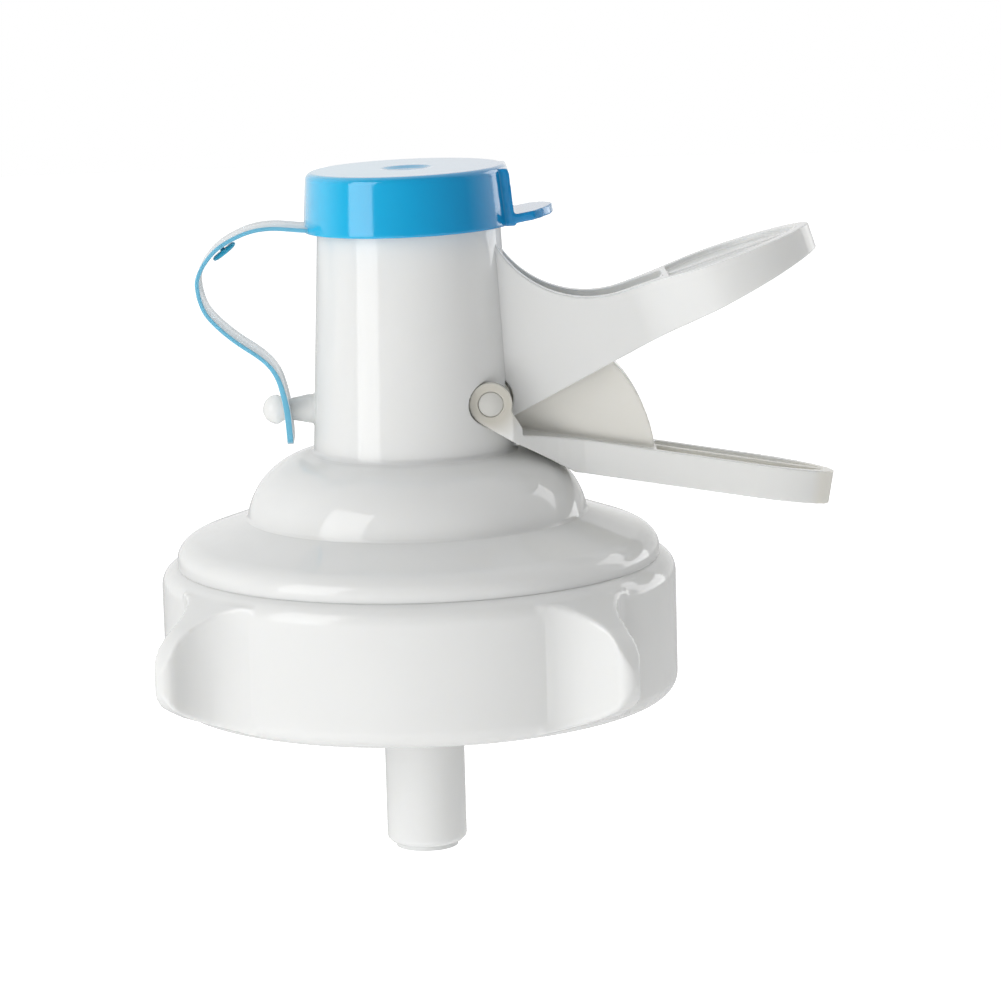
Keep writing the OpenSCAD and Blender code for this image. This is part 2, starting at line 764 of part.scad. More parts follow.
// Yoke from above: two arms that straddle the neck and close in to the tray
module yoke_plan() {
    difference() {
        for (s = [0, 1])
            mirror([0, s])
                polygon(concat(
                    [[pivot_x - boss_r, 0], [lever_root_x + 3, 0], [lever_root_x + 3, lever_w / 2]],
                    bulge([lever_root_x + 2.4, lever_w / 2], [pivot_x + boss_r, arm_out], 0.8, 6),
                    [[pivot_x - boss_r, arm_out]]));
        intersection() {
            circle(r = yoke_gap_r);
            square([2 * yoke_gap_r, 2 * arm_in], center = true);
        }
    }
}

module lever_side() {
    translate([pivot_x, pivot_z])
        circle(r = boss_r);
    polygon([arm_foot, root_low,
        [lever_reach, lever_top(lever_reach) - lever_depth],
        [lever_reach, lever_top(lever_reach)], [yoke_gap_r + 0.6, lever_top(yoke_gap_r + 0.6)],
        [pivot_x + 0.94 * boss_r, pivot_z - 0.34 * boss_r], [pivot_x, pivot_z]]);
}

// Sector web, hub and bar in the lever's middle plane
module web_side() {
    left = yoke_gap_r + 0.3;
    top = handle_low(left) + 1.8;
    start = asin((lever_top(30) - 0.6 - web_centre[1]) / web_r);
    polygon(concat([[left, lever_top(left) - 0.6]],
        arc(web_centre, web_r, start, 49, 12), [[left, top]]));
    polygon([[pivot_x, pivot_z - hub_r], [left + 0.5, lever_top(left) - 0.6], [left + 0.5, top],
        [pivot_x, pivot_z + hub_r]]);
}

module fork() {
    translate([pivot_x, 0, pivot_z])
        rotate([0, fork_tilt, 0])
            translate([-pivot_x, 0, 0]) {
                difference() {
                    translate([0, 0, -fork_t / 2])
                        cylinder(r = fork_out, h = fork_t);
                    translate([0, 0, -fork_t])
                        cylinder(r = fork_in, h = 2 * fork_t);
                    translate([-fork_back - 2 * fork_out, -fork_out, -fork_t])
                        cube([2 * fork_out, 2 * fork_out, 2 * fork_t]);
                }
                for (s = [-1, 1])
                    translate([0, s * (nub_in + fork_in + 0.4) / 2, 0])
                        rotate([90, 0, 0])
                            cylinder(r = nub_r, h = fork_in + 0.4 - nub_in, center = true);
            }
}

// One moulding: finger tray, yoke, sector web and the fork that reaches the crosshead
module squeeze_lever() {
    color(white)
        difference() {
            union() {
                difference() {
                    intersection() {
                        along_y(40)
                            lever_side();
                        union() {
                            linear_extrude(100)
                                yoke_plan();
                            lever_block()
                                lever_plan(0, lever_root_x);
                        }
                    }
                    // Only the arms rise above the lever's straight top edge
                    along_y(2 * arm_in)
                        polygon([[0, lever_top(0)], [lever_root_x + 3, lever_top(lever_root_x + 3)],
                            [lever_root_x + 3, mouth_z], [0, mouth_z]]);
                    // Troughs beside the tray's middle rib
                    intersection() {
                        along_y(2 * lever_w)
                            polygon([[tray_x, lever_top(tray_x) - lever_depth + tray_floor_t],
                                [lever_reach + 1, lever_top(lever_reach + 1) - lever_depth + tray_floor_t],
                                [lever_reach + 1, mouth_z], [tray_x, mouth_z]]);
                        lever_block()
                            difference() {
                                lever_plan(lever_wall, tray_x);
                                translate([0, -lever_wall / 2])
                                    square([100, lever_wall]);
                            }
                    }
                }
                along_y(web_t)
                    web_side();
                translate([pivot_x, 0, pivot_z])
                    rotate([90, 0, 0])
                        cylinder(r = hub_r, h = 2 * hub_half, center = true);
                fork();
            }
            translate([pivot_x, 0, pivot_z])
                rotate([90, 0, 0])
                    cylinder(r = pin_r + pin_play, h = 4 * arm_out, center = true);
        }
}

// Plain pin pressed into the neck
module pivot_pin() {
    color(steel)
        translate([pivot_x, 0, pivot_z])
            rotate([90, 0, 0])
                cylinder(r = pin_r, h = 2 * arm_out - 0.4, center = true);
}

// Soft cap with a pull tab; an inner ring plugs the mouth
module dust_cap() {
    color(blue) {
        difference() {
            union() {
                rotate_extrude()
                    polygon(concat(
                        [[0, cap_z], [cap_r, cap_z], [cap_top_r, cap_top - cap_edge]],
                        arc([cap_top_r - cap_edge, cap_top - cap_edge], cap_edge, 10, 90, 6),
                        [[3.2, cap_top], [2, cap_top - 0.35], [0, cap_top - 0.35]]));
                // Pull tab with a round end, on a flat pad
                translate([cap_r - 2, 0, cap_z])
                    rotate([0, -tab_slope, 0])
                        intersection() {
                            translate([0, -tab_w / 2, 0])
                                cube([tab_reach + 2, tab_w, tab_t]);
                            cylinder(r = tab_reach + 2, h = tab_t);
                        }
                along_y(tab_w)
                    polygon([[cap_bore_r - 2, cap_z], [cap_r, cap_z], [cap_top_r, cap_top - cap_edge],
                        [cap_top_r - 0.3 * cap_edge, cap_top - 0.3 * cap_edge],
                        [cap_bore_r - 2, cap_top - 0.3 * cap_edge]]);
            }
            translate([0, 0, cap_z - 1])
                cylinder(r = cap_bore_r, h = mouth_z + slip - cap_z + 1);
        }
        washer(bore_r - slip, bore_r - 1.1, mouth_z - 1.8, 2);
    }
}

// Middle line of the tether, from the cap's rim down past the peg, in the XZ plane
strap_route = [[0, 0], [-2.09, 0.22], [-3.61, 0.35], [-5.2, 0.27], [-6.81, -0.06], [-8.47, -0.72],
    [-10.02, -1.57], [-10.99, -2.34], [-11.79, -3.22], [-12.46, -4.18], [-12.93, -5.16],
    [-13.18, -6.07], [-13.13, -6.89], [-13.03, -7.68], [-12.8, -8.57], [-12.45, -9.52],
    [-11.85, -10.46], [-11.07, -11.33], [-10.24, -12.15], [-9.33, -12.94], [-8.29, -13.76],
    [-7.25, -14.48], [-6.21, -15.2], [-5.32, -15.93], [-4.6, -16.68], [-4.04, -17.48],
    [-3.6, -18.38], [-3.29, -19.38], [-3.02, -20.48], [-2.83, -21.48], [-2.67, -22.48],
    [-2.56, -23.87], [-2.47, -25.17], [-2.44, -26.42]];
peg_point = 30;      // the point of the route that hangs on the peg
end_point = 24;      // the strap thickens from here to the peg
// Thin strap that starts on the cap's side; its hole hangs on the peg's waist
module tether_strap() {
    start = [-cap_r, cap_z + strap_t / 2];
    foot_x = -neck_r(peg_z) - strap_x;
    reach = strap_route[peg_point];
    n = len(strap_route);
    way = [for (p = strap_route)
        start + [p[0] * (foot_x - start[0]) / reach[0], p[1] * (peg_z - start[1]) / reach[1]]];
    side = [for (i = [0:n - 1])
        let (d = way[min(i + 1, n - 1)] - way[max(i - 1, 0)],
            share = min(1, max(0, (i - end_point) / (peg_point - end_point))),
            t = strap_t + (strap_end_t - strap_t) * share)
        [-d[1], d[0]] / norm(d) * t / 2];
    color(strap_blue)
        difference() {
            along_y(strap_w)
                polygon(concat(
                    [[start[0] + cap_wall, cap_z + strap_t]],
                    [for (i = [0:n - 1]) way[i] + side[i]],
                    [for (i = [n - 1:-1:0]) way[i] - side[i]],
                    [[start[0] + cap_wall, cap_z]]));
            // The cap's drafted side
            translate([0, 0, cap_z])
                cylinder(r1 = cap_r, r2 = cap_top_r, h = cap_h - cap_edge);
            translate([foot_x, 0, peg_z])
                rotate([0, 90, 0])
                    cylinder(r = peg_waist_r + slip, h = 4 * strap_t, center = true);
        }
}

collar_nut();
neck_gasket();
clamp_ring();
spout_body();
valve_cage();
spring_washer();
return_spring();
valve_stem();
valve_disc();
stem_o_ring();
valve_seal();
seal_retainer();
stem_crosshead();
stem_clip();
vent_ball();
vent_end_plug();
squeeze_lever();
pivot_pin();
dust_cap();
tether_strap();
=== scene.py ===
# Looks of a squeeze spigot for a water jug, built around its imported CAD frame.
# Shapes are drawn in millimetres and scaled to metres when a piece is finished.
import math

import bmesh
import bpy
import numpy as np
from mathutils import Matrix, Vector


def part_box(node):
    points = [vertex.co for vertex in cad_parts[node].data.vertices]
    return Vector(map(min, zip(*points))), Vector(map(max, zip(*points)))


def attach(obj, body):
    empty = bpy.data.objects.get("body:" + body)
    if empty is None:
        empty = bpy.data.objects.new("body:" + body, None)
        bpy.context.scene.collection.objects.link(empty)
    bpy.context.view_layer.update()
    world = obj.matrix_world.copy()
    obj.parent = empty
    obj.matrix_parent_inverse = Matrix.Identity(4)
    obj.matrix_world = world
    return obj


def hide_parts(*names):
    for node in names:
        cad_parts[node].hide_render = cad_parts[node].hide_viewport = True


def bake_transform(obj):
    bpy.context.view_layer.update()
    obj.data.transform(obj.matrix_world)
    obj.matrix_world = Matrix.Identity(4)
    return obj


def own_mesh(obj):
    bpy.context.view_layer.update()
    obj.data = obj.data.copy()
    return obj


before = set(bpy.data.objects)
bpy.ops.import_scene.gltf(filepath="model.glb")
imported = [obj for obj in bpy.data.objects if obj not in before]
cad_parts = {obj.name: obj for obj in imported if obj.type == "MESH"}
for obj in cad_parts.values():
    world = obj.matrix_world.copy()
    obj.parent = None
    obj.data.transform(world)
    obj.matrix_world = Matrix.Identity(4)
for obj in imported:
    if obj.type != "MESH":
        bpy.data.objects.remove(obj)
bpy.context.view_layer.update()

MM = 0.001
# Sides of the large and the small turned forms
SEGMENTS, SMALL_SEGMENTS = 256, 96
# Most faces of a moulded skin; most of them have four sides
MOST_FACES = 98_000


# Sizes in millimetres, close to those of the CAD solids

COLLAR_R, COLLAR_H, COLLAR_EDGE = 32.0, 17.4, 2.3
# The ring below the dome, and the round shoulder that it starts with
RING_Z, RING_TOP, RING_R = 17.5, 23.1, 30.0
SHOULDER_W, SHOULDER_H, SHOULDER_LOW = 4.4, 2.9, 0.7
DOME_R, DOME_TOP, DOME_BULGE = 21.1, 31.0, 1.93
RING_FOOT, SKIRT_IN, SKIRT_OUT, SKIRT_LOW = 17.38, 21.6, 24.2, 12.0
NECK_LOW, NECK_HIGH, NECK_BORE, NECK_FILLET = 12.6, 11.3, 9.4, 0.5
CAP_Z, MOUTH_Z, MOUTH_EDGE = 58.6, 64.4, 0.6
# Where the lever turns, as (x, z), and the boss and arms round it
PIVOT = (9.33, 37.6)
BOSS_R, ARM_IN, ARM_OUT = 2.65, 8.248, 9.448
HUB_R, HUB_HALF, POCKET_PLAY = 2.85, 4.8, 0.06
ROOT_LOW = (19.6, 28.138)
# The fixed handle: two side plates, then the paddle
HANDLE_START, HANDLE_REACH, HANDLE_HALF, HANDLE_WALL = 10.3, 50.15, 4.5, 1.3
PADDLE_START, PADDLE_MID, PADDLE_HALF = 26.5, 37.5, 8.2
CHANNEL_HALF, CHANNEL_END, END_WALL = 2.9, 31.03, 0.7
RECESS, FLOOR_T, TOP_SLOPE, LOW_SLOPE = 0.6, 1.6, 17.7, 27
# The squeezed lever: its tray runs down from TRAY_ROOT, an (x, z) point of its top edge
LEVER_REACH, LEVER_HALF, LEVER_ROUND, LEVER_SLOPE = 52.0, 4.55, 10.0, 10.0
TRAY_ROOT = (18.4, 32.55)
TROUGH_START, TROUGH_END, TROUGH_IN, TROUGH_OUT, TROUGH_DEPTH = 29.9, 31.4, 0.45, 3.65, 3.2
CAP_LOW_R, CAP_HIGH_R, CAP_IN_R, CAP_TOP, CAP_EDGE, CAP_TILT = 12.98, 12.48, 11.38, 65.9, 0.9, 1.2
PEG_Z, PEG_HOLE_R = 36.4, 1.45
STRAP_X, STRAP_HALF, STRAP_T, STRAP_END_T, STRAP_CORNER = 3.3, 3.9, 0.55, 0.8, 0.18
PIN_R, PIN_EDGE, PIN_SINK = 1.52, 0.12, 0.06
SPRING_R, SPRING_TURNS, SPRING_WIRE, STEM_TRAVEL = 6.8, 6, 0.45, 5.6


# Meshes

def mesh_of(verts, faces):
    mesh = bpy.data.meshes.new("part")
    mesh.from_pydata([tuple(v) for v in verts], [], faces)
    mesh.validate()
    return outward(mesh)


def outward(mesh):
    """Merges coincident points and turns every face outwards."""
    bm = bmesh.new()
    bm.from_mesh(mesh)
    bmesh.ops.remove_doubles(bm, verts=bm.verts, dist=1e-4)
    bmesh.ops.recalc_face_normals(bm, faces=bm.faces)
    bm.to_mesh(mesh)
    bm.free()
    return mesh


def lathe(profile, segments=SEGMENTS, axis="Z", centre=(0, 0, 0)):
    """Closed solid of a closed outline of (radius, height) points turned round an axis."""
    n = len(profile)
    verts, faces = [], []
    for i in range(segments):
        a = 2 * math.pi * i / segments
        verts += [(r * math.cos(a), r * math.sin(a), z) for r, z in profile]
    for i in range(segments):
        j = (i + 1) % segments
        for k in range(n):
            m = (k + 1) % n
            if profile[k][0] < 1e-6 and profile[m][0] < 1e-6:
                continue
            faces.append((i * n + k, j * n + k, j * n + m, i * n + m))
    mesh = bpy.data.meshes.new("part")
    mesh.from_pydata(verts, [], faces)
    turn = {"Z": Matrix.Identity(4), "Y": Matrix.Rotation(math.radians(90), 4, "X"),
            "X": Matrix.Rotation(math.radians(90), 4, "Y")}[axis]
    mesh.transform(Matrix.Translation(centre) @ turn)
    return outward(mesh)


def cylinder(radius, low, high, segments=SMALL_SEGMENTS, axis="Y", centre=(PIVOT[0], 0, PIVOT[1])):
    return lathe([(0, low), (radius, low), (radius, high), (0, high)], segments, axis, centre)


def prism(points, low, high, axis="Y"):
    """Solid of a flat outline between two heights: (x, z) points for axis Y, (x, y) points for axis Z."""
    n = len(points)

    def place(p, h):
        return (p[0], h, p[1]) if axis == "Y" else (p[0], p[1], h)

    verts = [place(p, low) for p in points] + [place(p, high) for p in points]
    faces = [tuple(range(n)), tuple(range(n, 2 * n))]
    faces += [(i, (i + 1) % n, n + (i + 1) % n, n + i) for i in range(n)]
    return mesh_of(verts, faces)


def tube(sections):
    """Closed solid through a row of sections that have the same number of points."""
    n, m = len(sections), len(sections[0])
    faces = [(i * m + j, i * m + (j + 1) % m, (i + 1) * m + (j + 1) % m, (i + 1) * m + j)
             for i in range(n - 1) for j in range(m)]
    faces += [tuple(range(m)), tuple(range((n - 1) * m, n * m))]
    return mesh_of([point for section in sections for point in section], faces)


def arc(centre, radius, start, end, steps):
    return [(centre[0] + radius * math.cos(math.radians(start + (end - start) * i / steps)),
             centre[1] + radius * math.sin(math.radians(start + (end - start) * i / steps)))
            for i in range(steps + 1)]


def bulge(a, b, s, n):
    """Points of an arc from a to b that bulges by s to the left of the way from a to b."""
    a, b = Vector(a), Vector(b)
    chord = (b - a).length
    radius = (chord * chord / 4 + s * s) / (2 * s)
    u = (b - a) / chord
    v = Vector((-u.y, u.x))
    middle = (a + b) / 2 + v * (s - radius)
    half = math.asin(chord / 2 / radius)
    out = []
    for i in range(n + 1):
        t = half - 2 * half * i / n
        p = middle - u * radius * math.sin(t) + v * radius * math.cos(t)
        out.append((p.x, p.y))
    return out


def cad_copy(node):
    """The CAD node's mesh in millimetres, as one closed skin."""
    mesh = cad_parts[node].data.copy()
    mesh.materials.clear()
    mesh.transform(Matrix.Scale(1 / MM, 4))
    return outward(mesh)


def scratch(mesh):
    """A passing object that carries modifiers."""
    o = bpy.data.objects.new("scratch", mesh)
    bpy.context.scene.collection.objects.link(o)
    return o


def evaluated(o):
    """The object's mesh with its modifiers applied. The object goes."""
    graph = bpy.context.evaluated_depsgraph_get()
    mesh = bpy.data.meshes.new_from_object(o.evaluated_get(graph))
    bpy.data.objects.remove(o)
    return mesh


def cut(base, tool, how="DIFFERENCE"):
    a, b = scratch(base), scratch(tool)
    b.hide_render = True
    m = a.modifiers.new("cut", "BOOLEAN")
    m.operation, m.solver, m.object = how, "MANIFOLD", b
    out = evaluated(a)
    bpy.data.objects.remove(b)
    return out


def joined(meshes):
    bm = bmesh.new()
    for mesh in meshes:
        bm.from_mesh(mesh)
    out = bpy.data.meshes.new("part")
    bm.to_mesh(out)
    bm.free()
    return out


def points_of(mesh):
    co = np.empty(len(mesh.vertices) * 3)
    mesh.vertices.foreach_get("co", co)
    return co.reshape(-1, 3)


def set_points(mesh, co):
    mesh.vertices.foreach_set("co", co.ravel())
    mesh.update()


def soften(mesh, rounds, shrink=0.5, grow=-0.52):
    """Rounds the edges of a fine mesh without thinning its walls."""
    co = points_of(mesh)
    n = len(co)
    ends = np.empty(len(mesh.edges) * 2, np.int64)
    mesh.edges.foreach_get("vertices", ends)
    a, b = ends.reshape(-1, 2).T
    count = np.maximum(np.bincount(ends, minlength=n), 1).astype(float)[:, None]
    for _ in range(rounds):
        for step in (shrink, grow):
            near = np.stack([np.bincount(a, co[b, k], n) + np.bincount(b, co[a, k], n) for k in range(3)], 1)
            co = co + step * (near / count - co)
    set_points(mesh, co)


def moulded(parts, voxel, rounds, most=MOST_FACES):
    """One fine skin round several overlapping solids, with softly rounded edges, in millimetres."""
    o = scratch(joined(parts))
    m = o.modifiers.new("skin", "REMESH")
    m.mode, m.voxel_size, m.adaptivity = "VOXEL", voxel, 0
    mesh = evaluated(o)
    soften(mesh, rounds)
    if len(mesh.polygons) > most:
        o = scratch(mesh)
        m = o.modifiers.new("fewer", "DECIMATE")
        m.ratio = most / len(mesh.polygons)
        mesh = evaluated(o)
    return mesh


def snap(mesh, inside, target):
    """Puts the points that an area's test names exactly on their analytic surface."""
    co = points_of(mesh)
    hit = inside(co)
    co[hit] = target(co[hit])
    set_points(mesh, co)


def onto_radius(co, radius):
    """The points, moved square to the upright axis until they are at a radius from it."""
    k = radius / np.hypot(co[:, 0], co[:, 1])
    return np.stack([co[:, 0] * k, co[:, 1] * k, co[:, 2]], 1)


def snap_sides(mesh, half, start, end):
    """Flattens a piece's two upright sides between two places along X."""
    snap(mesh, lambda co: (abs(abs(co[:, 1]) - half) < 0.04) & (co[:, 0] > start) & (co[:, 0] < end),
         lambda co: np.stack([co[:, 0], np.sign(co[:, 1]) * half, co[:, 2]], 1))


def finish_piece(name, mesh, material, body=None, stands_for=(), sharp=None):
    """The finished piece in metres. Edges above the sharp angle, in degrees, stay crisp."""
    mesh.transform(Matrix.Scale(MM, 4))
    mesh.name = name
    mesh.materials.clear()
    mesh.materials.append(material)
    mesh.polygons.foreach_set("use_smooth", [True] * len(mesh.polygons))
    if sharp:
        mesh.set_sharp_from_angle(angle=math.radians(sharp))
    mesh.update()
    o = bpy.data.objects.new(name, mesh)
    bpy.context.scene.collection.objects.link(o)
    if body:
        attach(o, body)
    if stands_for:
        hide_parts(*stands_for)
    return o


# Materials

def add_node(tree, kind, **inputs):
    """A new shader node with constant values on the inputs that are named."""
    made = tree.nodes.new("ShaderNode" + kind)
    for key, value in inputs.items():
        made.inputs[key.replace("_", " ")].default_value = value
    return made


def math_node(tree, operation, first, second=None):
    made = add_node(tree, "Math")
    made.operation = operation
    tree.links.new(first, made.inputs[0])
    if second:
        tree.links.new(second, made.inputs[1])
    return made


def colour_mix(tree, share, first, second):
    """Runs from the first to the second colour with a share. The first is a colour or an output."""
    made = add_node(tree, "Mix")
    made.data_type = "RGBA"
    tree.links.new(share, made.inputs["Factor"])
    if isinstance(first, bpy.types.NodeSocket):
        tree.links.new(first, made.inputs["A"])
    else:
        made.inputs["A"].default_value = (*first, 1)
    made.inputs["B"].default_value = (*second, 1)
    return made.outputs["Result"]


def moulding(name, colour, roughness, tint=0.06, grain=0.012, wave=0.05, soft=0.0, soft_radius=(1, 1, 1),
             metallic=0.0, coat=0.0, ior=1.46, clear=0.0, edge=None, side_shade=None, web_shade=None, pivot_shade=None):
    """Moulded plastic: slow drift of colour and gloss, faint flow waves and a fine skin, in millimetres.
    With an edge colour, the faces that look along Y have it, as the cut edges of a thin clear band do.
    With a colour for shade towards +X, painted shade darkens the piece on the side away from the key lamp. A
    colour for the middle plane is painted warm shade there, where the lever's web lies in the neck's shadow.
    A colour for the pivot is painted shade round the lever's pivot, where it sits in the neck's pocket."""
    mat = bpy.data.materials.new(name)
    mat.use_nodes = True
    tree = mat.node_tree
    tree.nodes.clear()
    link = tree.links.new
    out = add_node(tree, "OutputMaterial")
    bsdf = add_node(tree, "BsdfPrincipled", IOR=ior, Metallic=metallic, Transmission_Weight=clear)
    link(bsdf.outputs[0], out.inputs[0])
    place = add_node(tree, "TexCoord")

    def noise(scale, detail, rough=0.5):
        made = add_node(tree, "TexNoise", Scale=scale, Detail=detail, Roughness=rough)
        link(place.outputs["Object"], made.inputs["Vector"])
        return made.outputs["Fac"]

    def blended(shade, second, value, low, high):
        """Runs from one colour to a second as a value goes from low to high."""
        share = add_node(tree, "MapRange", From_Min=low, From_Max=high)
        link(value, share.inputs["Value"])
        return colour_mix(tree, share.outputs["Result"], shade, second)

    def along(source, channel):
        split = add_node(tree, "SeparateXYZ")
        link(place.outputs[source], split.inputs[0])
        return split.outputs[channel]

    shade = colour_mix(tree, noise(90, 3), [c * (1 - tint) for c in colour],
                       [min(1.0, c * (1 + tint)) for c in colour])
    if edge:
        shade = blended(shade, edge, math_node(tree, "ABSOLUTE", along("Normal", "Y")).outputs[0], 0.35, 0.75)
    # Painted shade: the colour darkens towards +X, the side away from the key lamp.
    if side_shade:
        shade = blended(shade, side_shade, along("Object", "X"), -10 * MM, 11 * MM)
    # Painted warm shade: the web in the piece's middle plane lies in the neck's shadow.
    if web_shade:
        middle = math_node(tree, "ABSOLUTE", along("Object", "Y")).outputs[0]
        shade = blended(shade, web_shade, middle, 3.2 * MM, 2.4 * MM)
    # Painted shade round the pivot, where the lever sits in the neck's pocket.
    if pivot_shade:
        away = add_node(tree, "VectorMath")
        away.operation = "MULTIPLY_ADD"
        away.inputs[1].default_value = (1, 0, 1)
        away.inputs[2].default_value = (-PIVOT[0] * MM, 0, -PIVOT[1] * MM)
        reach = add_node(tree, "VectorMath")
        reach.operation = "LENGTH"
        link(place.outputs["Object"], away.inputs[0])
        link(away.outputs["Vector"], reach.inputs[0])
        shade = blended(shade, pivot_shade, reach.outputs["Value"], 4.6 * MM, 2.2 * MM)
    link(shade, bsdf.inputs["Base Color"])

    spread = add_node(tree, "MapRange", From_Min=0.3, From_Max=0.7, To_Min=roughness * 0.85,
                      To_Max=roughness * 1.2)
    link(noise(260, 4, 0.6), spread.inputs["Value"])
    link(spread.outputs["Result"], bsdf.inputs["Roughness"])

    normal = None
    for scale, depth in ((150, wave), (2600, grain)):
        if depth:
            bump = add_node(tree, "Bump", Distance=depth * MM)
            link(noise(scale, 1), bump.inputs["Height"])
            if normal:
                link(normal, bump.inputs["Normal"])
            normal = bump.outputs["Normal"]
    if normal:
        link(normal, bsdf.inputs["Normal"])

    if soft:
        bsdf.inputs["Subsurface Weight"].default_value = soft
        bsdf.inputs["Subsurface Radius"].default_value = soft_radius
        bsdf.inputs["Subsurface Scale"].default_value = 1.5 * MM
    if coat:
        bsdf.inputs["Coat Weight"].default_value = coat
        bsdf.inputs["Coat Roughness"].default_value = 0.12
    return mat


MILKY = (1.0, 0.95, 0.85)
WHITE = moulding("white_plastic", (0.80, 0.805, 0.795), 0.06, tint=0.012, grain=0.0004, wave=0.006,
                 soft=0.25, soft_radius=MILKY, ior=1.56)
# The lever's white carries painted shade: warm on its web and darker round its pivot.
LEVER_WHITE = moulding("lever_plastic", (0.80, 0.805, 0.79), 0.08, tint=0.012, grain=0.0004, wave=0.006,
                       soft=0.25, soft_radius=MILKY, ior=1.5, web_shade=(0.80, 0.785, 0.73),
                       pivot_shade=(0.57, 0.55, 0.49))
# The pin's grey is painted shade of the pocket round the pivot.
PIN = moulding("pin_painted_shade", (0.60, 0.595, 0.565), 0.2, tint=0.02, grain=0.0004, wave=0.003)
TUBE = moulding("tube_plastic", (0.83, 0.835, 0.825), 0.12, tint=0.012, grain=0.0008, wave=0.006,
                soft=0.25, soft_radius=MILKY)
INNER = moulding("inner_plastic", (0.72, 0.73, 0.72), 0.35, tint=0.02, grain=0.003, wave=0.01)
# The cap's blue darkens towards +X: painted shade of its side away from the key lamp.
BLUE = moulding("cap_blue", (0.002, 0.48, 0.80), 0.09, tint=0.05, grain=0.002, wave=0.012,
                soft=0.15, soft_radius=(0.1, 0.8, 1.0), coat=1.0, side_shade=(0.002, 0.25, 0.56))
STRAP = moulding("strap_blue", (0.86, 0.92, 0.95), 0.12, tint=0.02, grain=0, wave=0, ior=1.2, clear=0.2,
                 edge=(0.20, 0.58, 0.80))
STUD = moulding("stud_blue", (0.02, 0.38, 0.60), 0.14, tint=0.02, grain=0, wave=0, ior=1.45)
RUBBER = moulding("silicone", (0.52, 0.52, 0.50), 0.55, tint=0.03, grain=0.01, wave=0.01)
STEEL = moulding("steel", (0.58, 0.58, 0.60), 0.28, tint=0.03, grain=0.002, wave=0.0, metallic=1.0)
BY_SLOT = {"white_plastic": WHITE, "inner_plastic": INNER, "cap_blue": BLUE, "strap_blue": STRAP,
           "silicone": RUBBER, "steel": STEEL}

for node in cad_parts.values():
    for i, m in enumerate(node.data.materials):
        node.data.materials[i] = BY_SLOT[m.name.split(".")[0]]


# Spout: base, neck and fixed handle

def neck_radius(z):
    return NECK_LOW + (NECK_HIGH - NECK_LOW) * (z - DOME_TOP) / (CAP_Z - DOME_TOP)


def spout_base():
    """Skirt, ring and dome, turned as one shell round the spout's axis."""
    middle = (RING_R - SHOULDER_W, RING_Z + SHOULDER_LOW)
    crease = (DOME_R + 0.2, RING_TOP - 0.1)
    # the shoulder is a piece of an ellipse, up to where a straight slope to the crease touches it
    aim = Vector(((crease[0] - middle[0]) / SHOULDER_W, (crease[1] - middle[1]) / SHOULDER_H))
    end = math.atan2(aim.y, aim.x) - math.acos(1 / aim.length)
    # skirt, then the groove below the ring
    outline = [(SKIRT_OUT, SKIRT_LOW), (SKIRT_OUT, RING_Z), (25.2, RING_Z), (25.2, 19.5), (27.8, 19.5),
               (27.8, RING_Z), (28.2, RING_FOOT), (RING_R, RING_FOOT)]
    for i in range(25):
        a = end * i / 24
        outline.append((middle[0] + SHOULDER_W * math.cos(a), middle[1] + SHOULDER_H * math.sin(a)))
    outline += [crease]
    outline += [p for p in bulge((DOME_R, RING_TOP + 0.2), (NECK_LOW, DOME_TOP), -DOME_BULGE, 60)
                if p[0] > NECK_LOW + NECK_FILLET + 0.05]
    outline += arc((NECK_LOW + NECK_FILLET, DOME_TOP - 0.03 + NECK_FILLET), NECK_FILLET, 270, 182, 8)
    # bore, the valve's seat and the dome's inner side
    outline += [(NECK_LOW - 0.2, DOME_TOP + 1), (9.45, DOME_TOP + 1), (9.45, 26.3), (10.6, 26.3),
                (10.6, 28.8)]
    outline += bulge((18.9, 22.5), (11.2, 28.8), -DOME_BULGE, 16)[::-1]
    outline += [(SKIRT_IN, 18.7), (SKIRT_IN, SKIRT_LOW)]
    return lathe(outline)


def arm_room():
    """The hub's pocket, then those of the arms and the bosses in the neck's flanks."""
    way = Vector(ROOT_LOW) - Vector(PIVOT)
    side = math.acos(BOSS_R / way.length)
    turn = math.atan2(way.y, way.x) - side
    normal = Vector((math.cos(turn), math.sin(turn)))
    foot = Vector(PIVOT) + BOSS_R * normal
    outline = [PIVOT, tuple(foot + POCKET_PLAY * normal), tuple(Vector(ROOT_LOW) + POCKET_PLAY * normal)]
    rooms = [cylinder(HUB_R, -HUB_HALF, HUB_HALF)]
    for s in (-1, 1):
        low, high = sorted((s * (ARM_IN - 0.15), s * (ARM_IN + 9.85)))
        rooms.append(prism(outline, low, high))
        rooms.append(cylinder(BOSS_R + POCKET_PLAY, low, high))
    return rooms


def neck_skin():
    start = 29.0
    outer = [(neck_radius(start), start), (neck_radius(CAP_Z - 0.2), CAP_Z - 0.2),
             (NECK_HIGH, MOUTH_Z - MOUTH_EDGE)]
    outer += arc((NECK_HIGH - MOUTH_EDGE, MOUTH_Z - MOUTH_EDGE), MOUTH_EDGE, 0, 90, 6)
    return lathe(outer + [(NECK_BORE, MOUTH_Z), (NECK_BORE, start)])


def peg():
    """Stem and round head that the strap's hole slips over."""
    outline = [(0, 0), (1.8, 0), (1.8, 1.6), (1.35, STRAP_X + 0.6), (1.35, STRAP_X + 1.4)]
    outline += arc((0, 5.55), 1.85, 0, 90, 16)
    mesh = lathe(outline, SMALL_SEGMENTS)
    place = Matrix.Translation((1 - neck_radius(PEG_Z), 0, PEG_Z))
    mesh.transform(place @ Matrix.Rotation(math.radians(-90), 4, "Y"))
    return outward(mesh)


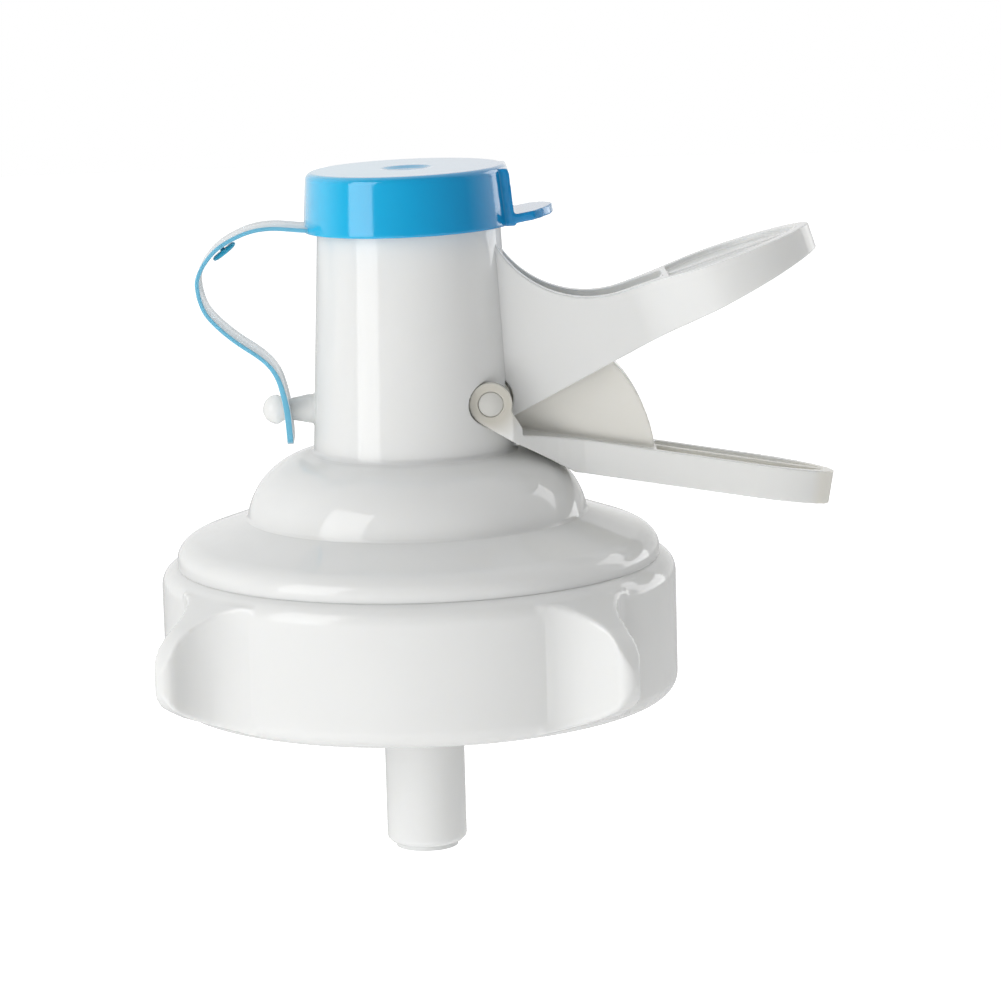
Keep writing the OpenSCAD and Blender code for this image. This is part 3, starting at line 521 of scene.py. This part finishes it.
def spout_neck():
    """Neck and peg as one fine skin; its lower end sits inside the dome."""
    skin = neck_skin()
    for room in arm_room():
        skin = cut(skin, room)
    slot = [(7.4, 33.0), (16, 33.0), (16, 43.0), (7.4, 43.0)]
    skin = cut(skin, prism(slot, -CHANNEL_HALF, CHANNEL_HALF))
    mesh = moulded([skin, peg()], 0.18, 2)

    def on_cone(co):
        off = np.hypot(co[:, 0], co[:, 1]) - neck_radius(co[:, 2])
        return (abs(off) < 0.05) & (co[:, 2] > 30) & (co[:, 2] < CAP_Z - 1)

    snap(mesh, on_cone, lambda co: onto_radius(co, neck_radius(co[:, 2])))
    return mesh


def handle_low(x):
    return 36.4 + (x - 14.3) * math.tan(math.radians(LOW_SLOPE))


def handle_top(x):
    """The side plates' top: an arc that runs into the paddle's straight slope."""
    sx, sz, sr, slope = 22.0, 62.75, 13.0, math.radians(TOP_SLOPE)
    lx, lz = sx + sr * math.sin(slope), sz - sr * math.cos(slope)
    if x < lx:
        return sz - math.sqrt(max(0, sr * sr - (x - sx) ** 2))
    return lz + (x - lx) * math.tan(slope)


def paddle_half(x):
    """Half the handle's width: even, then a smooth widening, then the round tip."""
    if x < PADDLE_START:
        return HANDLE_HALF
    if x < PADDLE_MID:
        t = (x - PADDLE_START) / (PADDLE_MID - PADDLE_START)
        return HANDLE_HALF + (PADDLE_HALF - HANDLE_HALF) * t * t * (3 - 2 * t)
    t = (x - PADDLE_MID) / (HANDLE_REACH - PADDLE_MID)
    return PADDLE_HALF * max(0, 1 - t * t) ** 0.6


def handle_block(inset, start):
    """The handle's plan carried through it, square to the paddle's sloped top."""
    n, end = 140, HANDLE_REACH - inset
    upper = []
    for i in range(n + 1):
        x = start + (end - start) * (1 - (1 - i / n) ** 2)
        half = paddle_half(min(x + (inset if x > PADDLE_MID else 0), HANDLE_REACH)) - inset
        upper.append((x, 0 if i == n else max(0.03, half)))
    mesh = prism(upper + [(x, -y) for x, y in upper[-2::-1]], -60, 60, "Z")
    tip = Matrix.Translation((HANDLE_REACH, 0, handle_low(HANDLE_REACH)))
    slope = Matrix.Rotation(math.radians(-TOP_SLOPE), 4, "Y")
    mesh.transform(tip @ slope @ Matrix.Translation((-HANDLE_REACH, 0, 0)))
    return outward(mesh)


def below_top(a, b, upper, lower, half):
    """A slab that follows the paddle's top from a to b: its upper and lower faces are so far below it."""
    ends = [(a, handle_top(a) - lower), (b, handle_top(b) - lower), (b, handle_top(b) - upper),
            (a, handle_top(a) - upper)]
    return prism(ends, -half, half)


def handle():
    """Fixed handle: two side plates with an open channel, then a paddle hollow below and recessed above."""
    n, wide = 220, 20
    line = [HANDLE_START + (HANDLE_REACH - HANDLE_START) * i / n for i in range(n + 1)]
    side = [(x, handle_top(x)) for x in line] + [(x, handle_low(x)) for x in (HANDLE_REACH, HANDLE_START)]
    body = cut(prism(side, -wide, wide), handle_block(0, 4), "INTERSECT")
    channel = [(0, 20), (CHANNEL_END, 20), (CHANNEL_END, 90), (0, 90)]
    body = cut(body, prism(channel, -CHANNEL_HALF, CHANNEL_HALF))
    a, b = CHANNEL_END + END_WALL, HANDLE_REACH + 5
    deep = RECESS + FLOOR_T
    above = prism([(a, handle_top(a) - RECESS), (b, handle_top(b) - RECESS), (b, 95), (a, 95)], -wide, wide)
    below = prism([(a, 10), (b, 10), (b, handle_top(b) - deep), (a, handle_top(a) - deep)], -wide, wide)
    for hollow in (above, below):
        body = cut(body, cut(hollow, handle_block(HANDLE_WALL, a), "INTERSECT"))
    body = cut(body, arm_room()[0])
    a, b = CHANNEL_END - 0.3, HANDLE_REACH - HANDLE_WALL / 2
    rib = below_top(a, b, RECESS / 2, RECESS + 0.7, HANDLE_WALL / 2)
    rib = cut(rib, handle_block(HANDLE_WALL / 2, CHANNEL_END - HANDLE_WALL), "INTERSECT")
    mesh = moulded([body, rib], 0.15, 2)
    snap_sides(mesh, HANDLE_HALF, 0, PADDLE_START - 0.3)
    snap_sides(mesh, CHANNEL_HALF, 0, CHANNEL_END - 0.3)
    return mesh


finish_piece("spout_base", spout_base(), WHITE, "spout", ["spout_body"], sharp=35)
finish_piece("spout_neck", spout_neck(), WHITE, "spout", ["spout_body"])
finish_piece("spout_handle", handle(), WHITE, "spout", ["spout_body"])


# Collar

def collar():
    inner = 28.6
    outer = [(inner, 0)] + arc((COLLAR_R - COLLAR_EDGE, COLLAR_EDGE), COLLAR_EDGE, -90, 0, 16)
    outer += arc((COLLAR_R - COLLAR_EDGE, COLLAR_H - COLLAR_EDGE), COLLAR_EDGE, 0, 90, 16)
    outer += [(inner, COLLAR_H)]
    mesh = moulded([cad_copy("collar_nut"), lathe(outer)], 0.32, 4)

    def on_wall(co):
        off = np.hypot(co[:, 0], co[:, 1]) - COLLAR_R
        return (abs(off) < 0.06) & (co[:, 2] > 2.4) & (co[:, 2] < 15)

    snap(mesh, on_wall, lambda co: onto_radius(co, COLLAR_R))
    return mesh


finish_piece("collar_moulding", collar(), WHITE, "collar", ["collar_nut"])


# Lever

def tray_top(x):
    return TRAY_ROOT[1] - (x - TRAY_ROOT[0]) * math.tan(math.radians(LEVER_SLOPE))


def lever():
    """The CAD lever with soft edges. The tray's troughs begin at the web's curved edge."""
    solid = cad_copy("squeeze_lever")
    a, b = TROUGH_START, TROUGH_END
    ends = [(a, tray_top(a) - TROUGH_DEPTH), (b, tray_top(b) - TROUGH_DEPTH), (b, tray_top(b) + 2),
            (a, tray_top(a) + 2)]
    for low, high in ((-TROUGH_OUT, -TROUGH_IN), (TROUGH_IN, TROUGH_OUT)):
        solid = cut(solid, prism(ends, low, high))
    mesh = moulded([solid], 0.16, 2)
    snap_sides(mesh, LEVER_HALF, 22, 41)
    slope = math.radians(LEVER_SLOPE)
    tip = (LEVER_REACH, tray_top(LEVER_REACH))
    middle = LEVER_REACH - LEVER_ROUND

    def tray(co):
        """Place along the tray, and how far out the point lies towards the tip's ellipse."""
        x = LEVER_REACH + (co[:, 0] - tip[0]) * math.cos(slope) - (co[:, 2] - tip[1]) * math.sin(slope)
        return x, np.hypot((x - middle) / LEVER_ROUND, co[:, 1] / LEVER_HALF)

    def on_tip(co):
        x, out = tray(co)
        return (x > middle + 0.5) & (abs(out - 1) < 0.012)

    def to_tip(co):
        x, out = tray(co)
        step = (x - middle) * (1 / out - 1)
        return np.stack([co[:, 0] + step * math.cos(slope), co[:, 1] / out,
                         co[:, 2] - step * math.sin(slope)], 1)

    snap(mesh, on_tip, to_tip)
    return mesh


finish_piece("lever_moulding", lever(), LEVER_WHITE, "lever", ["squeeze_lever"])


# Cap

def cap():
    """The CAD cap with a round edge and a dimple. It sits a little askew, its tab side higher."""
    outline = [(CAP_IN_R, CAP_Z)] + arc((CAP_LOW_R - 0.25, CAP_Z + 0.25), 0.25, -90, 0, 4)
    outline += arc((CAP_HIGH_R - CAP_EDGE, CAP_TOP - CAP_EDGE), CAP_EDGE, 5, 90, 10)
    dimple = ((3.4, 0), (2.9, 0.08), (2.2, 0.3), (1.6, 0.35), (0, 0.35))
    outline += [(r, CAP_TOP - sink) for r, sink in dimple]
    outline += [(0, MOUTH_Z + 0.1), (CAP_IN_R, MOUTH_Z + 0.1)]
    mesh = moulded([cad_copy("dust_cap"), lathe(outline)], 0.18, 3)
    seat = Matrix.Translation((0, 0, 61))
    mesh.transform(seat @ Matrix.Rotation(math.radians(-CAP_TILT), 4, "Y") @ seat.inverted())
    return mesh


finish_piece("cap_moulding", cap(), BLUE, "cap", ["dust_cap"])


# Tether strap: its route as (x, z) steps from where it leaves the cap

STRAP_START = (-12.92, 58.88)
STRAP_ROUTE = [
    (0.8, 0), (0, 0), (-2.09, 0.22), (-3.61, 0.35), (-5.2, 0.27), (-6.81, -0.06), (-8.47, -0.72),
    (-10.02, -1.57), (-10.99, -2.34), (-11.79, -3.22), (-12.46, -4.18), (-12.93, -5.16), (-13.18, -6.07),
    (-13.13, -6.89),
    (-13.03, -7.68), (-12.8, -8.57), (-12.45, -9.52), (-11.85, -10.46), (-11.07, -11.33), (-10.24, -12.15),
    (-9.33, -12.94), (-8.29, -13.76), (-7.25, -14.48), (-6.21, -15.2), (-5.32, -15.93), (-4.6, -16.68),
    (-4.04, -17.48), (-3.6, -18.38), (-3.29, -19.38), (-3.02, -20.48), (-2.83, -21.48), (-2.67, -22.48),
    (-2.56, -23.87), (-2.47, -25.17), (-2.44, -26.42)]


def smooth_route(points, steps):
    """A Catmull-Rom line through the points, with its directions."""
    p = np.array([points[0]] + list(points) + [points[-1]], float)
    line = []
    for i in range(1, len(p) - 2):
        for k in range(steps):
            t = k / steps
            line.append(0.5 * (2 * p[i] + (p[i + 1] - p[i - 1]) * t
                               + (2 * p[i - 1] - 5 * p[i] + 4 * p[i + 1] - p[i + 2]) * t * t
                               + (3 * p[i] - p[i - 1] - 3 * p[i + 1] + p[i + 2]) * t ** 3))
    line.append(p[-2])
    line = np.array(line)
    for _ in range(6):
        line[1:-1] = 0.25 * line[:-2] + 0.5 * line[1:-1] + 0.25 * line[2:]
    way = np.gradient(line, axis=0)
    return line, way / np.linalg.norm(way, axis=1)[:, None]


def strap_band(line, way):
    """A flat band with soft edges, thicker at its end, where a hole takes the peg."""
    c = STRAP_CORNER
    sections = []
    for i, (point, aim) in enumerate(zip(line, way)):
        done = i / (len(line) - 1)
        share = min(1, max(0, (done - 0.72) / 0.18))
        t = (STRAP_T + (STRAP_END_T - STRAP_T) * share) / 2
        # the end is rounded off in plan
        left = max(0.0, (done - 0.965) / 0.035)
        half = STRAP_HALF - 0.9 * left * left
        side = np.array([-aim[1], aim[0]])
        section = []
        for cy, cn, first in ((half - c, t - c, 0), (-half + c, t - c, 90), (-half + c, -t + c, 180),
                              (half - c, -t + c, 270)):
            for a in (0, 30, 60, 90):
                b = math.radians(first + a)
                x, z = point + side * (cn + c * math.sin(b))
                section.append((x, cy + c * math.cos(b), z))
        sections.append(section)
    hole = cylinder(PEG_HOLE_R, -3, 3, 48, "X", (-neck_radius(PEG_Z) - STRAP_X, 0, PEG_Z))
    return cut(tube(sections), hole)


def strap_stud(line, way):
    """Flat stud on the strap's inner side, below its upper bend."""
    k = int(np.argmin(abs(line[:, 1] - 57.0) + 10 * (line[:, 0] > -20)))
    inward = np.array([way[k][1], -way[k][0]])
    if inward[0] < 0:
        inward = -inward
    base = line[k] + inward * 0.15
    outline = [(0, 0), (0.3, 0), (0.3, 0.55), (1.45, 0.55), (1.65, 0.68), (1.72, 0.85), (1.65, 1.02),
               (1.3, 1.15), (0, 1.2)]
    stud = lathe(outline, 48)
    turn = math.atan2(inward[0], inward[1])
    stud.transform(Matrix.Translation((base[0], 0, base[1])) @ Matrix.Rotation(turn, 4, "Y"))
    return stud


route = smooth_route([(STRAP_START[0] + x, STRAP_START[1] + z) for x, z in STRAP_ROUTE], 5)
for name, mesh, material in (("strap_moulding", strap_band(*route), STRAP),
                             ("strap_stud", strap_stud(*route), STUD)):
    o = finish_piece(name, mesh, material, None, ["tether_strap"], sharp=40)
    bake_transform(o)


# Hose stem and pivot pin

def pin():
    r, half = PIN_R, ARM_OUT - PIN_SINK
    outline = [(0, -half), (r - PIN_EDGE, -half), (r, -half + PIN_EDGE), (r, half - PIN_EDGE),
               (r - PIN_EDGE, half), (0, half)]
    return lathe(outline, SMALL_SEGMENTS, "Y", (PIVOT[0], 0, PIVOT[1]))


finish_piece("stem_moulding", moulded([cad_copy("valve_stem")], 0.22, 2), TUBE, "stem",
             ["valve_stem"])
finish_piece("pin_detail", pin(), PIN, "spout", ["pivot_pin"], sharp=50)


# Return spring: a coil between the ends of the CAD spring's box

SPRING_LOW, SPRING_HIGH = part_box("return_spring")


def spring():
    low, high = SPRING_LOW[2] / MM + SPRING_WIRE, SPRING_HIGH[2] / MM - SPRING_WIRE
    steps, ring = 432, 12
    sections = []
    for i in range(steps + 1):
        a = 2 * math.pi * SPRING_TURNS * i / steps
        z = low + (high - low) * i / steps
        round_wire = [2 * math.pi * j / ring for j in range(ring)]
        sections.append([((SPRING_R + SPRING_WIRE * math.cos(b)) * math.cos(a),
                          (SPRING_R + SPRING_WIRE * math.cos(b)) * math.sin(a),
                          z + SPRING_WIRE * math.sin(b)) for b in round_wire])
    return tube(sections)


coil = finish_piece("spring_coil", spring(), STEEL, "spout", ["return_spring"], sharp=50)
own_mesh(coil)


# Camera

camera = bpy.data.objects.new("camera", bpy.data.cameras.new("camera"))
bpy.context.scene.collection.objects.link(camera)
camera.data.lens, camera.data.sensor_width = 144.555, 36
camera.data.clip_start, camera.data.clip_end = 0.01, 20
right = Vector((0.99931138, -0.02578335, -0.0266829))
up = Vector((0.03076967, 0.17395901, 0.98427206))
forward = Vector((0.0207361, 0.9844153, -0.17463256))
turn = Matrix((right, up, -forward)).transposed().to_4x4()
camera.matrix_world = Matrix.Translation((0, -0.49269, 0.11146)) @ turn
bpy.context.scene.camera = camera


# Lamps

bpy.context.scene.view_settings.view_transform = "Standard"
CENTRE = Vector((0, 0, 0.025))


def lamp(name, azimuth, elevation, distance, width, height, power):
    """A soft box that looks at the object. Azimuth 0 is the -Y side, and 90 is +X."""
    a, e = math.radians(azimuth), math.radians(elevation)
    way = Vector((math.sin(a) * math.cos(e), -math.cos(a) * math.cos(e), math.sin(e)))
    data = bpy.data.lights.new(name, "AREA")
    data.shape, data.size, data.size_y, data.energy = "RECTANGLE", width, height, power
    o = bpy.data.objects.new(name, data)
    o.location = CENTRE + way * distance
    o.rotation_mode = "QUATERNION"
    o.rotation_quaternion = (-way).to_track_quat("-Z", "Y")
    bpy.context.scene.collection.objects.link(o)
    return o


lamp("key", -54, 19.5, 1.0, 0.54, 0.96, 3.7)
lamp("rim", 125, 15, 1.0, 0.5, 0.8, 2.0)
for fill in (lamp("front", -25, 5, 1.4, 0.8, 1.2, 2.3), lamp("low_left", -15, -22, 0.7, 0.5, 0.3, 1.2),
             lamp("low_right", 20, -22, 0.7, 0.5, 0.3, 0.5)):
    fill.visible_glossy = False


# World: camera rays see a white backdrop. Glossy and clear surfaces see it behind the object, and the dim
# room in front. Dull surfaces have light from behind and from the left.

world = bpy.data.worlds.new("studio")
bpy.context.scene.world = world
world.use_nodes = True
tree = world.node_tree
tree.nodes.clear()
link = tree.links.new
where = add_node(tree, "TexCoord")
split = add_node(tree, "SeparateXYZ")
link(where.outputs["Generated"], split.inputs[0])


def along_sky(channel, low, high, at_low, at_high):
    """A strength that runs between two values as the view's direction goes from low to high."""
    made = add_node(tree, "MapRange", From_Min=low, From_Max=high, To_Min=at_low, To_Max=at_high)
    link(split.outputs[channel], made.inputs["Value"])
    return made.outputs["Result"]


def shine(strength=None):
    made = add_node(tree, "Background", Color=(1, 1, 1, 1))
    if strength:
        link(strength, made.inputs["Strength"])
    return made.outputs[0]


def either(share, first, second):
    made = add_node(tree, "MixShader")
    for socket, source in zip(made.inputs, (share, first, second)):
        link(source, socket)
    return made.outputs[0]


path = add_node(tree, "LightPath")
room = math_node(tree, "ADD", along_sky("Y", -1.0, 1.0, 0.0, 1.06), along_sky("X", -1.0, 1.0, 0.26, 0.0))
dull = shine(room.outputs[0])
mirrored = shine(along_sky("Y", -0.35, 0.25, 0.15, 0.88))
mirror = math_node(tree, "MAXIMUM", path.outputs["Is Glossy Ray"], path.outputs["Is Transmission Ray"])
sky = either(path.outputs["Is Camera Ray"], either(mirror.outputs[0], dull, mirrored), shine())
link(sky, add_node(tree, "OutputWorld").inputs[0])


# Floor: it shows white to the camera, and passes on only what falls on it

bpy.ops.mesh.primitive_circle_add(vertices=96, radius=4, fill_type="NGON", location=(0, 0, -0.3))
floor = bpy.context.object
floor.name = "studio_floor"
ground = bpy.data.materials.new("studio_floor")
ground.use_nodes = True
tree = ground.node_tree
tree.nodes.clear()
link = tree.links.new
seen = math_node(tree, "MULTIPLY", add_node(tree, "LightPath").outputs["Is Camera Ray"])
seen.inputs[1].default_value = 0.7
glow = add_node(tree, "Emission")
both = add_node(tree, "AddShader")
link(seen.outputs[0], glow.inputs["Strength"])
link(add_node(tree, "BsdfDiffuse", Color=(0.8, 0.8, 0.8, 1)).outputs[0], both.inputs[0])
link(glow.outputs[0], both.inputs[1])
link(both.outputs[0], add_node(tree, "OutputMaterial").inputs[0])
floor.data.materials.append(ground)
